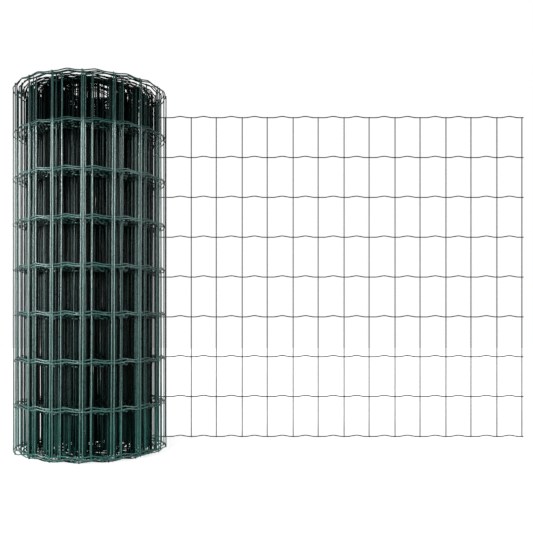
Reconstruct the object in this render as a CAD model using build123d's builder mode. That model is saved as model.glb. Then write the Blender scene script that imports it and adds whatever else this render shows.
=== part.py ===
from build123d import *
import math
import os

# A roll of coated welded wire fencing standing on its end, with its free end unrolled flat.
# Millimetres. The roll's axis is +Z, from the floor at the origin. The free end leaves the
# roll at its back, tangent to it, and runs along +X.

# The mesh: upright stays welded to the outer side of crimped line wires, all of one wire.
wire_diameter = 2.4  # over the coating
row_pitch = 100.0
row_count = 8
stay_pitch = 64.0
stay_stagger = 1.2  # every second stay sits this much nearer the free edge
stay_overhang = 1.5  # a stay's tip past the middle of the edge line wires
wire_overhang = 3.0  # a line wire's tip past the middle of the last stay
weld_sink = 0.6  # how far a stay is pressed into a line wire at the weld

# The crimps: one upward bend in each line wire between two stays.
crimp_height = 3.2
crimp_length = 46.0
crimp_stagger = 5.8  # every second crimp sits this much nearer the free edge

# The roll, wound tight round a thin mandrel. Its turns slid up and down a little as it was wound,
# so they stand at their own heights above the floor. Each ring of the turned solid stands for three
# turns or so, and the heights are given from the outermost ring in.
bore_radius = 30.0
ring_width = 10.92
ring_lifts = (9.0, 5.0, 14.0, 0.0, 15.0, 6.0, 18.0, 10.0, 22.0, 15.0, 26.0, 14.0, 0.0)
ring_gap = 4.0  # the width between two rings, over which an end slopes from one to the other

# The unrolled end
free_reach = 1048.0  # from the roll's axis to the last stay
free_lift = 6.3  # how far its stays' feet hang above the floor

# What follows from them
wire_radius = wire_diameter / 2
bar_width = wire_diameter * math.sqrt(math.pi) / 2  # a square bar with the round wire's section area
fence_height = row_count * row_pitch + 2 * stay_overhang
outer_radius = bore_radius + len(ring_lifts) * ring_width
stay_y = outer_radius - wire_radius
line_wire_y = stay_y - (wire_diameter - weld_sink)
peel_x = math.sqrt(outer_radius**2 - line_wire_y**2)  # where a line wire's middle leaves the roll
stay_clear_x = math.sqrt(outer_radius**2 - (stay_y - wire_radius) ** 2) + wire_diameter
rows_z = [free_lift + stay_overhang + row * row_pitch for row in range(row_count + 1)]


def stay_x(index):
    """The place of a stay, counted from the last one back to the roll."""
    return free_reach - index * stay_pitch + (index % 2) * stay_stagger


def crimp_x(index):
    """The top of a crimp, counted from the last one back to the roll."""
    return free_reach - (index + 0.5) * stay_pitch + (index % 2) * crimp_stagger


def crimped_points():
    """A line wire's middle line, from the roll to its tip: flat at the welds, up at each crimp."""
    points = [(peel_x, 0)]
    for index in reversed(range(int(free_reach / stay_pitch) + 1)):
        top = crimp_x(index)
        if top - crimp_length / 2 > peel_x:
            points += [(top - crimp_length / 2, 0), (top, crimp_height), (top + crimp_length / 2, 0)]
    return points + [(free_reach + wire_overhang, 0)]


def end_points(base_z):
    """One end of the roll's section, from the outermost ring in: a flat tip on each ring, a slope between."""
    points = []
    for ring, lift in enumerate(ring_lifts):
        middle = outer_radius - (ring + 0.5) * ring_width
        half_tip = (ring_width - ring_gap) / 2
        points += [(middle + half_tip, base_z + lift), (middle - half_tip, base_z + lift)]
    points[0] = (outer_radius, base_z + ring_lifts[0])
    points[-1] = (bore_radius, base_z + ring_lifts[-1])
    return points


stays_x = [stay_x(index) for index in range(int((free_reach - stay_clear_x) / stay_pitch) + 1)]

# The rolled part of the mesh, turned, with each ring standing out at its own height at both ends.
with BuildPart() as rolled_mesh:
    with BuildSketch(Plane.XZ):
        with BuildLine():
            Polyline(*end_points(0), *reversed(end_points(fence_height)), close=True)
        make_face()
    revolve(axis=Axis.Z)

# One crimped line wire, at the height of its welds.
with BuildPart() as line_wire:
    with BuildLine(Plane.XZ.offset(-line_wire_y)) as crimped_line:
        Polyline(*crimped_points())
    start = crimped_line.line @ 0
    with BuildSketch(Plane(origin=start, x_dir=(0, 1, 0), z_dir=crimped_line.line % 0)):
        Rectangle(bar_width, bar_width)
    sweep(path=crimped_line.line, transition=Transition.RIGHT)

# The unrolled part of the mesh, fused at its welds and ending on the roll's surface.
with BuildPart() as unrolled_mesh:
    with BuildSketch(Plane.XY.offset(free_lift)):
        with Locations(*[(x, stay_y) for x in stays_x]):
            Rectangle(bar_width, bar_width)
    extrude(amount=fence_height)
    with Locations(*[(0, 0, z) for z in rows_z]):
        add(line_wire.part)
    with BuildSketch(Plane.XY):
        Circle(outer_radius)
    extrude(amount=free_lift + fence_height + crimp_height + wire_diameter, mode=Mode.SUBTRACT)

os.makedirs("parts", exist_ok=True)
rolled_mesh.part.label = "rolled_mesh"
unrolled_mesh.part.label = "unrolled_mesh"
export_step(rolled_mesh.part, "parts/rolled_mesh.step")
export_step(unrolled_mesh.part, "parts/unrolled_mesh.step")
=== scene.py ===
import math
import random

import bpy
import numpy as np
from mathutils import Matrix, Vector


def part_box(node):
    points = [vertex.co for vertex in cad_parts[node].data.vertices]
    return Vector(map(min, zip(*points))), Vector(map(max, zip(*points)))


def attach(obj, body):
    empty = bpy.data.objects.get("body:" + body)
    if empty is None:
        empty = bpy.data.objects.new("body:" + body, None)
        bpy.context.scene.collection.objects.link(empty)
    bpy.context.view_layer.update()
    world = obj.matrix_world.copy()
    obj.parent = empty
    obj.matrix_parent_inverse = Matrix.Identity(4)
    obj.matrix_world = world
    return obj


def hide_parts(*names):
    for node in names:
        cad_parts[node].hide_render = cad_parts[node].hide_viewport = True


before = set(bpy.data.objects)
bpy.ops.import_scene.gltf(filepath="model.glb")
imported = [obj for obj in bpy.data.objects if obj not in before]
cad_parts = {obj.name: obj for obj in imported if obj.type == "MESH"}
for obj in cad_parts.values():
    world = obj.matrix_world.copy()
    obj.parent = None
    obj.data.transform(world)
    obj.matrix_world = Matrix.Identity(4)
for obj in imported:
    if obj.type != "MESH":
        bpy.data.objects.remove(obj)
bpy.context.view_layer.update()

# A roll of coated welded wire fencing with its free end unrolled. Lengths here are in
# millimetres, and meshes are made in metres. The roll's axis is +Z at the origin. The free end
# leaves the roll at its back and runs along +X.

MM = 0.001
rolled_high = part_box("rolled_mesh")[1]
free_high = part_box("unrolled_mesh")[1]

# The mesh: upright stays on the outer side of crimped line wires, all of one wire
wire_radius = 1.2
row_pitch = 100.0
row_count = 8
fence_rise = row_count * row_pitch  # from the lowest line wire's middle to the highest one's
stay_pitch = 64.0
stay_stagger = 1.2  # every second stay of the sheet sits this much nearer the free edge
stay_overhang = 1.5  # a stay's tip past the middle of the edge line wires
wire_overhang = 3.0  # a line wire's end past the middle of the last stay
weld_sink = 0.6  # how far a stay is pressed into a line wire at the weld
stay_offset = 2 * wire_radius - weld_sink  # from a line wire's middle out to a stay's
touching = 4 * wire_radius - weld_sink  # the pitch at which a turn's stays touch the next turn out

# The crimps: one upward bend in each line wire between two stays
crimp_height = 3.2
crimp_length = 46.0
crimp_stagger = 5.8  # every second crimp sits this much nearer the free edge

# The sheet and the roll stay this far inside the frame's box
reach_margin = 0.66
radius_margin = 0.16
free_reach = free_high[0] / MM - wire_overhang - reach_margin
free_lift = 6.3  # how far the unrolled mesh hangs above the floor
start_length = 250.0  # the length of roll over which its own height takes over from the sheet's
sheet_cells = 16
line_radius = rolled_high[0] / MM - wire_radius - stay_offset - radius_margin

# The winding: how far each turn lies inside the one before it, from the outermost in, and how far
# the top of each turn's stays leans along the fence past their feet. The inner turns lie closer
# than their wires allow, so that as little light passes the roll as in the photograph.
loose_pitch = 6.1
outer_turns = 5
inner_turns = 33
winding = random.Random(7)
turn_pitches = [loose_pitch] + [touching] * outer_turns
turn_pitches += [winding.uniform(3.0, 3.37) for _ in range(inner_turns)]
turn_count = len(turn_pitches)
turn_leans = [0.0, 5.0, 6.0]
turn_leans += [winding.uniform(2.0, 9.0) for _ in range(turn_count + 1 - len(turn_leans))]
first_stay = 33.5
coil_cell = 63.62

# The camera, in millimetres and in pixels of the picture
camera_place = (339.0, -1662.0, 301.8)
focal_length = 729.3
picture_centre = (240.0, 319.3)
picture_size = 533

# The slits in which the roll lets light pass to the camera: left and right columns of the picture,
# then top and bottom rows
slits = (
    (38.8, 41.4, 330, 452),
    (146.7, 148.2, 242, 364),
    (159.6, 160.5, 169, 413),
    (18.6, 20.2, 149, 432),
    (22.6, 24.2, 120, 452),
    (76.0, 78.2, 95, 118),
    (104.0, 108.5, 95, 111),
)

# How finely a wire is divided: more on the sheet and the outer turns
fine_length = 3400.0
fine_points = 65
coarse_points = 33
stay_sides = 8
line_sides = 7
stays_in_piece = 80

rng = random.Random(7)

# The spiral as tables: angle, radius of the line wires and length wound
steps_in_turn = 60
turn_radii = line_radius - np.concatenate([[0], np.cumsum(turn_pitches)])
grid_angle = np.linspace(0, 2 * math.pi * turn_count, steps_in_turn * turn_count + 1)
grid_radius = np.interp(grid_angle / (2 * math.pi), np.arange(turn_count + 1), turn_radii)
mean_radius = (grid_radius[1:] + grid_radius[:-1]) / 2
grid_length = np.concatenate([[0], np.cumsum(mean_radius * np.diff(grid_angle))])
coil_length = grid_length[-1]


def front_lifts():
    """How high each turn stands at the roll's front, from the outermost in."""
    lifts = [9.0, 14.4, 8.5, 12.0, 5.5, 1.2, 10.5, 2.5, 7.5, 1.2, 12.0]
    read_off = len(lifts)
    while len(lifts) < turn_count + 2:
        # Deeper turns have slid further up
        trend = 7 + 11 * min(1.0, (len(lifts) - read_off) / 12)
        lifts.append(trend + rng.uniform(-5, 5))
    lifts = np.clip(lifts, 1.2, 22.0)
    lifts[-6:] = np.linspace(lifts[-6], 3, 6)
    return lifts


turn_lifts = front_lifts()


def angle_at(s):
    """The angle reached after a length of line wire."""
    return np.interp(s, grid_length, grid_angle)


def eased(t):
    """A smooth step from 0 to 1."""
    return t * t * (3 - 2 * t)


def lift_at(s):
    """How far the fence has slid up at a place along it."""
    turn = np.clip(angle_at(s) / (2 * math.pi) - 0.5, 0.0, len(turn_lifts) - 1.001)
    lower = np.floor(turn).astype(int)
    ease = eased(turn - lower)
    wound = turn_lifts[lower] * (1 - ease) + turn_lifts[lower + 1] * ease
    start = eased(np.clip(np.asarray(s) / start_length, 0.0, 1.0))
    return free_lift + (wound - free_lift) * start


def lean_at(s):
    """How far a stay's top leans along the fence, past its foot."""
    return np.interp(angle_at(s) / (2 * math.pi), np.arange(len(turn_leans)), turn_leans)


def bulge_at(theta):
    """How far the outermost turns stand out at the roll's sides, where they are loose."""
    turns = (0.18, 0.29, 0.38, 0.63, 0.74, 0.9, 1.18, 1.28, 1.4, 1.62, 1.74, 1.86, 2.62, 2.74, 2.86)
    heights = (0, 3.2, 0, 0, 4.2, 0, 0, 1.0, 0, 0, 4.3, 0, 0, 4.2, 0)
    return np.interp(theta / (2 * math.pi), turns, heights)


def placed(s, out, z):
    """Points in metres from lengths along the fence, distances outward and heights in it."""
    s, out, z = np.broadcast_arrays(np.asarray(s, float), np.asarray(out, float), np.asarray(z, float))
    leaning = s + lean_at(s) * (z / fence_rise - 0.5)
    theta = angle_at(leaning)
    r = np.interp(leaning, grid_length, grid_radius) + out + bulge_at(theta)
    x = np.where(leaning > 0, -r * np.sin(theta), -leaning)
    y = np.where(leaning > 0, r * np.cos(theta), line_radius + out)
    return np.stack([x, y, z + lift_at(leaning) + stay_overhang], axis=-1) * MM


def light_worth(columns, rows):
    """What shutting out the light at each place in the picture is worth. In a slit it costs."""
    top_cells_end = 118
    top_cells_left = 50
    top_cells_right = 125
    beside_top_cells = 0.2
    in_slit = -1.5
    worth = np.ones((len(rows), len(columns)))
    beside = (columns < top_cells_left) | (columns > top_cells_right)
    worth[np.ix_(rows < top_cells_end, beside)] = beside_top_cells
    for left, right, top, bottom in slits:
        inside = (columns > left) & (columns < right)
        worth[np.ix_((rows > top) & (rows < bottom), inside)] = in_slit
    return worth


def column_spans(lengths, columns, rows):
    """The first and last columns that stays at these lengths cover, in each row."""
    mid_height = 400.0
    usual_lift = 10
    lowest = 8
    highest = fence_rise + 13
    depth = placed(lengths, stay_offset, mid_height)[..., 1] / MM - camera_place[1]
    height = camera_place[2] + (picture_centre[1] - rows[:, None, None]) / focal_length * depth
    spot = placed(lengths, stay_offset, np.clip(height - usual_lift, 0, fence_rise)) / MM
    scale = focal_length / (spot[..., 1] - camera_place[1])
    middle = picture_centre[0] + scale * (spot[..., 0] - camera_place[0])
    reached = (height > lowest) & (height < highest)
    start = np.where(reached, np.searchsorted(columns, middle - wire_radius * scale), 0)
    end = np.where(reached, np.searchsorted(columns, middle + wire_radius * scale), 0)
    return start, end


def settled_stays():
    """Lengths along the fence at which the coil's stays stand.

    Each stay has some room to either side of its even place. There it is put where it shuts out
    most of the light that the others let pass to the camera, apart from the slits.
    """
    front_room = 0.4  # for the stays at the front of the three outermost turns, which show most
    outer_room = 4.0
    inner_room = 2.8
    step_count = 29
    sweeps = 8
    end_margin = 6
    even = np.arange(first_stay, coil_length - end_margin, coil_cell)
    turns = angle_at(even) / (2 * math.pi)
    in_front = (np.cos(2 * math.pi * turns) < -0.6) & (turns < 3)
    room = np.where(in_front, front_room, np.where(turns < outer_turns + 1, outer_room, inner_room))
    steps = np.linspace(-1, 1, step_count)

    columns = np.arange(12.8, 166.3, 0.1)
    rows = np.arange(84.0, 452.0, 12.0)
    worth = light_worth(columns, rows)
    start, end = column_spans(even[:, None] + room[:, None] * steps, columns, rows)

    covered = np.zeros(worth.shape, int)
    row_index = np.arange(len(rows))[:, None]

    def cover(stay, choice, amount):
        for row in range(len(rows)):
            covered[row, start[row, stay, choice]:end[row, stay, choice]] += amount

    chosen = np.full(len(even), len(steps) // 2)
    for stay in range(len(even)):
        cover(stay, chosen[stay], 1)
    draw = np.random.default_rng(5)
    for _ in range(sweeps):
        for stay in draw.permutation(len(even)):
            cover(stay, chosen[stay], -1)
            light = np.zeros((len(rows), len(columns) + 1))
            np.cumsum((covered == 0) * worth, axis=1, out=light[:, 1:])
            gain = (light[row_index, end[:, stay]] - light[row_index, start[:, stay]]).sum(axis=0)
            chosen[stay] = draw.choice(np.flatnonzero(gain >= gain.max() - 0.01))
            cover(stay, chosen[stay], 1)
    return even + room * steps[chosen]


class Tubes:
    """Round wires joined into one mesh."""

    def __init__(self):
        self.vertices = []
        self.faces = []
        self.count = 0

    def add(self, points, radius, sides):
        """One wire along points, with a closed rounded tip at each end."""
        points = np.asarray(points)
        along = np.gradient(points, axis=0)
        along /= np.linalg.norm(along, axis=1)[:, None]
        upright = abs(along[len(points) // 2][2]) > 0.7
        guide = np.array([1.0, 0.3, 0.0]) if upright else np.array([0.0, 0.0, 1.0])
        side = np.cross(along, guide)
        side /= np.linalg.norm(side, axis=1)[:, None]
        other = np.cross(side, along)
        turn = (2 * math.pi * np.arange(sides) / sides)[None, :, None]
        # Corners a little outside the round wire keep its mean width
        radius = radius * (1 + 1 / math.cos(math.pi / sides)) / 2
        ring = side[:, None, :] * np.cos(turn) + other[:, None, :] * np.sin(turn)
        body = points[:, None, :] + ring * radius
        tip_length = 0.5
        tip_width = 0.62
        caps = []
        for end, sign in ((0, -1), (-1, 1)):
            tip = points[end] + along[end] * sign * radius * tip_length
            caps.append(tip[None, :] + ring[end] * radius * tip_width)
        rings = np.concatenate([caps[0][None], body, caps[1][None]])
        base = self.count
        total = len(rings)
        a = np.arange(total - 1)[:, None] * sides + np.arange(sides)[None, :]
        b = np.arange(total - 1)[:, None] * sides + (np.arange(sides) + 1)[None, :] % sides
        quads = np.stack([a, b, b + sides, a + sides], axis=-1).reshape(-1, 4) + base
        self.vertices.append(rings.reshape(-1, 3))
        self.faces.extend(quads.tolist())
        self.faces.append((base + np.arange(sides)[::-1]).tolist())
        self.faces.append((base + (total - 1) * sides + np.arange(sides)).tolist())
        self.count += total * sides

    def build(self, name, material):
        mesh = bpy.data.meshes.new(name)
        mesh.from_pydata(np.concatenate(self.vertices).tolist(), [], self.faces)
        mesh.polygons.foreach_set("use_smooth", [True] * len(mesh.polygons))
        mesh.materials.append(material)
        mesh.update()
        piece = bpy.data.objects.new(name, mesh)
        bpy.context.scene.collection.objects.link(piece)
        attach(piece, "root")
        return piece


def coating():
    """Satin dark green coating.

    It has painted shade: duller and darker in the depth of the roll, in the top row of cells, in the
    unrolled sheet and, a little, at the roll's two sides. It has painted light: lighter at the foot,
    and lit or shaded at random from stay to stay inside the roll.
    """
    material = bpy.data.materials.new("coated_wire")
    material.use_nodes = True
    nodes, links = material.node_tree.nodes, material.node_tree.links
    shader = nodes["Principled BSDF"]
    shader.inputs["IOR"].default_value = 1.5

    def ranged(source, low, high, to_low, to_high):
        """A value carried smoothly from one range to another."""
        node = nodes.new("ShaderNodeMapRange")
        node.interpolation_type = "SMOOTHSTEP"
        ends = {"From Min": low, "From Max": high, "To Min": to_low, "To Max": to_high}
        for name, value in ends.items():
            node.inputs[name].default_value = value
        links.new(source, node.inputs["Value"])
        return node.outputs["Result"]

    def product(*sources):
        """Values multiplied together."""
        result = sources[0]
        for source in sources[1:]:
            node = nodes.new("ShaderNodeMath")
            node.operation = "MULTIPLY"
            links.new(result, node.inputs[0])
            links.new(source, node.inputs[1])
            result = node.outputs[0]
        return result

    def mottle(scale, detail, vector):
        """An uneven value over the surface."""
        node = nodes.new("ShaderNodeTexNoise")
        node.inputs["Scale"].default_value = scale
        node.inputs["Detail"].default_value = detail
        links.new(vector, node.inputs["Vector"])
        return node.outputs["Fac"]

    place = nodes.new("ShaderNodeTexCoord").outputs["Object"]
    apart = nodes.new("ShaderNodeSeparateXYZ")
    links.new(place, apart.inputs[0])
    height = apart.outputs["Z"]
    flat = nodes.new("ShaderNodeCombineXYZ")
    links.new(apart.outputs["X"], flat.inputs["X"])
    links.new(apart.outputs["Y"], flat.inputs["Y"])
    length = nodes.new("ShaderNodeVectorMath")
    length.operation = "LENGTH"
    links.new(flat.outputs[0], length.inputs[0])
    radius = length.outputs["Value"]
    across = nodes.new("ShaderNodeMath")
    across.operation = "ABSOLUTE"
    links.new(apart.outputs["X"], across.inputs[0])

    # Painted shade: tone and gloss fall towards the inner turns, as shade deep in the roll
    depth = product(ranged(radius, 0.151, 0.163, 0.3, 1.0), ranged(radius, 0.105, 0.15, 0.3, 1.0))
    # Painted shade: tone and gloss down to 0.6 at the roll's two sides
    painted_side_shade = ranged(across.outputs[0], 0.12, 0.14, 1.0, 0.6)
    # Painted shade: the unrolled sheet's tone and gloss down to 0.15
    painted_sheet_shade = ranged(radius, 0.173, 0.21, 1.0, 0.15)
    # Painted shade: the top row of cells darker, down to 0.4, and its gloss down to 0.12
    top = ranged(height, 0.7, 0.722, 1.0, 0.4)
    painted_top_gloss_shade = ranged(height, 0.7, 0.722, 1.0, 0.12)
    # Painted light: the foot up to 2.2 times lighter, as lit from the floor, and its gloss down to 0.6
    painted_foot_light = ranged(height, 0.08, 0.125, 2.2, 1.0)
    painted_foot_gloss = ranged(height, 0.06, 0.14, 0.6, 1.0)

    # Inside the roll, painted light and shade that differ at random from stay to stay, 0.12 to 2.8
    # times
    painted_light_per_stay = nodes.new("ShaderNodeMix")
    painted_light_per_stay.data_type = "FLOAT"
    painted_light_per_stay.inputs["B"].default_value = 1.0
    links.new(ranged(radius, 0.156, 0.163, 0.0, 1.0), painted_light_per_stay.inputs["Factor"])
    links.new(ranged(mottle(170, 1, flat.outputs[0]), 0.46, 0.6, 0.12, 2.8), painted_light_per_stay.inputs["A"])
    depth = product(depth, painted_light_per_stay.outputs["Result"])

    tone = nodes.new("ShaderNodeValToRGB")
    tone.color_ramp.elements[0].position = 0.3
    tone.color_ramp.elements[0].color = (0.02, 0.1, 0.085, 1)
    tone.color_ramp.elements[1].position = 0.7
    tone.color_ramp.elements[1].color = (0.035, 0.165, 0.14, 1)
    links.new(mottle(45, 3, place), tone.inputs["Fac"])
    # Painted light and shade: the tone is scaled from black by all the factors above, and so is the
    # gloss
    painted_shade_mix = nodes.new("ShaderNodeMix")
    painted_shade_mix.data_type = "RGBA"
    painted_shade_mix.inputs["A"].default_value = (0, 0, 0, 1)
    links.new(product(depth, painted_sheet_shade, painted_side_shade, top, painted_foot_light), painted_shade_mix.inputs["Factor"])
    links.new(tone.outputs["Color"], painted_shade_mix.inputs["B"])
    links.new(painted_shade_mix.outputs["Result"], shader.inputs["Base Color"])
    painted_shade_gloss = product(depth, painted_sheet_shade, painted_side_shade, painted_top_gloss_shade, painted_foot_gloss)
    links.new(painted_shade_gloss, shader.inputs["Specular IOR Level"])

    fine = mottle(260, 2, place)
    links.new(ranged(fine, 0.3, 0.7, 0.24, 0.4), shader.inputs["Roughness"])
    bump = nodes.new("ShaderNodeBump")
    bump.inputs["Strength"].default_value = 0.25
    bump.inputs["Distance"].default_value = 0.0003
    links.new(fine, bump.inputs["Height"])
    links.new(bump.outputs["Normal"], shader.inputs["Normal"])
    return material


def stay_places():
    """Lengths along the fence of all its stays, from the free edge in. The sheet's are negative."""
    places = [-(free_reach - i * stay_pitch + (i % 2) * stay_stagger) for i in range(sheet_cells)]
    places.append(-(free_reach - sheet_cells * stay_pitch))
    return places + list(settled_stays())


def crimp_places(stays):
    """Lengths along the fence of the tops of its crimps."""
    places = []
    for i in range(sheet_cells):
        places.append(-(free_reach - (i + 0.5) * stay_pitch + (i % 2) * crimp_stagger))
    for i in range(sheet_cells, len(stays) - 1):
        places.append((stays[i] + stays[i + 1]) / 2 - (i % 2) * crimp_stagger)
    return places


def line_wires(crimps, material):
    """The crimped line wires, from the free edge to the innermost turn."""
    half = crimp_length / 2
    rise = ((-half, 0), (-half + 4, 0.06), (-half / 2, 0.48), (-3, 0.95), (0, 1.0))
    fall = ((3, 0.95), (half / 2, 0.48), (half - 4, 0.06), (half, 0), (half + 6, 0), (half + 12, 0))
    plain = ((-half, 0), (-half / 2, 0.5), (0, 1.0), (half / 2, 0.5), (half, 0), (half + 9, 0))
    for row in range(row_count + 1):
        line = Tubes()
        s_values = [-(free_reach + wire_overhang)]
        z_values = [0.0]
        for top in crimps:
            for ds, dz in rise + fall if top < fine_length else plain:
                s_values.append(top + ds)
                z_values.append(dz * crimp_height)
        s_values = np.array(s_values)
        z_values = np.array(z_values)
        keep = s_values < coil_length
        points = placed(s_values[keep], 0.0, z_values[keep] + row * row_pitch)
        line.add(points, wire_radius * MM, line_sides)
        line.build(f"line_wire_{row + 1}", material)


def upright_stays(stays, material):
    """The stays, joined in pieces, those of the roll a little wavy."""
    wave = 0.35
    group = Tubes()
    made = []
    for index, s in enumerate(stays):
        count = fine_points if s < fine_length else coarse_points
        z = np.linspace(-stay_overhang, fence_rise + stay_overhang, count)
        wander = np.zeros(len(z))
        if index > sheet_cells:
            knots = [rng.uniform(-wave, wave) for _ in range(row_count * 2 + 1)]
            wander = np.interp(z, np.linspace(-2, fence_rise + 2, len(knots)), knots)
        group.add(placed(s + wander, stay_offset, z), wire_radius * MM, stay_sides)
        if (index + 1) % stays_in_piece == 0 or index == len(stays) - 1:
            made.append(group.build(f"stays_{len(made) + 1}", material))
            group = Tubes()
    return made


def studio_world():
    """A white surrounding for what the camera sees and what is mirrored, and a dim light elsewhere."""
    world = bpy.data.worlds.new("studio")
    world.use_nodes = True
    nodes, links = world.node_tree.nodes, world.node_tree.links
    nodes.clear()
    path = nodes.new("ShaderNodeLightPath")
    shown = path.outputs["Is Camera Ray"]
    for kind in ("Is Glossy Ray", "Is Transmission Ray"):
        either = nodes.new("ShaderNodeMath")
        either.operation = "MAXIMUM"
        links.new(shown, either.inputs[0])
        links.new(path.outputs[kind], either.inputs[1])
        shown = either.outputs[0]
    mix = nodes.new("ShaderNodeMixShader")
    links.new(shown, mix.inputs[0])
    for socket, strength in ((1, 0.15), (2, 1.0)):
        light = nodes.new("ShaderNodeBackground")
        light.inputs["Color"].default_value = (1, 1, 1, 1)
        light.inputs["Strength"].default_value = strength
        links.new(light.outputs[0], mix.inputs[socket])
    out = nodes.new("ShaderNodeOutputWorld")
    links.new(mix.outputs[0], out.inputs[0])
    return world


def pale_floor():
    """A floor that is white to the camera and keeps the roll's shadow."""
    reach = 6.0
    corners = [(-reach, -reach, 0), (reach, -reach, 0), (reach, reach, 0), (-reach, reach, 0)]
    mesh = bpy.data.meshes.new("floor")
    mesh.from_pydata(corners, [], [(0, 1, 2, 3)])
    floor = bpy.data.objects.new("floor", mesh)
    bpy.context.scene.collection.objects.link(floor)

    material = bpy.data.materials.new("floor")
    material.use_nodes = True
    nodes, links = material.node_tree.nodes, material.node_tree.links
    shader = nodes["Principled BSDF"]
    shader.inputs["Base Color"].default_value = (0.8, 0.8, 0.8, 1)
    shader.inputs["Roughness"].default_value = 0.9
    path = nodes.new("ShaderNodeLightPath")
    glow = nodes.new("ShaderNodeMixShader")
    links.new(path.outputs["Is Camera Ray"], glow.inputs[0])
    for socket, strength in ((1, 0.0), (2, 0.78)):
        light = nodes.new("ShaderNodeEmission")
        light.inputs["Color"].default_value = (1, 1, 1, 1)
        light.inputs["Strength"].default_value = strength
        links.new(light.outputs[0], glow.inputs[socket])
    both = nodes.new("ShaderNodeAddShader")
    links.new(shader.outputs[0], both.inputs[0])
    links.new(glow.outputs[0], both.inputs[1])
    links.new(both.outputs[0], nodes["Material Output"].inputs["Surface"])
    mesh.materials.append(material)


def sun(name, towards, size, strength):
    """A far lamp shining along a direction, as wide as so many degrees of the sky."""
    data = bpy.data.lights.new(name, "SUN")
    data.angle = math.radians(size)
    data.energy = strength
    lamp = bpy.data.objects.new(name, data)
    bpy.context.scene.collection.objects.link(lamp)
    lamp.rotation_euler = Vector(towards).to_track_quat("-Z", "Y").to_euler()


def front_camera():
    """A level camera at the photograph's viewpoint."""
    data = bpy.data.cameras.new("camera")
    camera = bpy.data.objects.new("camera", data)
    bpy.context.scene.collection.objects.link(camera)
    camera.location = Vector(camera_place) * MM
    camera.rotation_euler = (math.pi / 2, 0, 0)
    sensor_width = 36
    data.lens = sensor_width * focal_length / picture_size
    data.shift_x = (picture_size / 2 - picture_centre[0]) / picture_size
    data.shift_y = (picture_centre[1] - picture_size / 2) / picture_size
    return camera


green = coating()
stays = stay_places()
line_wires(crimp_places(stays), green)
made = upright_stays(stays, green)
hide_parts("rolled_mesh", "unrolled_mesh")

scene = bpy.context.scene
scene.world = studio_world()
pale_floor()
sun("left_lamp", (0.92, 0.38, -0.15), 20, 3.2)
sun("right_lamp", (-0.9, 0.25, -0.2), 25, 1.0)
sun("front_lamp", (0.2, 0.95, -0.25), 14, 1.7)
scene.camera = front_camera()
scene.view_settings.view_transform = "Standard"
